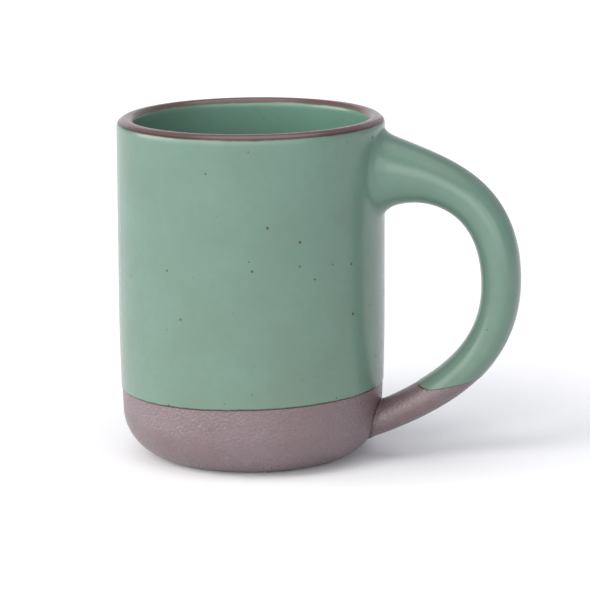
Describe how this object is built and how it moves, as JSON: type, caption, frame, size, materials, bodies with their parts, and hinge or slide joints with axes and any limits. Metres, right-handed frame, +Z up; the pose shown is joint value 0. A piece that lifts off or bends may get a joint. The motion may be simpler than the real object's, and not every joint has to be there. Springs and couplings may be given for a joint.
{
  "type": "mug",
  "caption": "Straight-sided stoneware mug with a tapered loop handle, glazed inside and out above a bare clay foot and lip.",
  "frame": {"origin": "centre of the flat base, on the cup's axis", "axes": "+Z up along the cup's axis, +X from the cup's axis towards the handle, +Y across the handle"},
  "size_m": [0.1232, 0.081, 0.104],
  "materials": {
    "stoneware_clay": "bare toasted brown stoneware, satin",
    "slip_clay": "bare darker brown slip, matt",
    "sage_glaze": "sage green glaze with small dark iron specks, semi-gloss",
    "liner_glaze": "sage green liner glaze with small dark iron specks, semi-gloss"
  },
  "bodies": {
    "root": {"cup_body": "stoneware_clay", "handle": "stoneware_clay", "upper_slip_joint": "slip_clay", "lower_slip_joint": "slip_clay", "outer_glaze": "sage_glaze", "handle_glaze": "sage_glaze", "liner_glaze": "liner_glaze"}
  },
  "joints": []
}
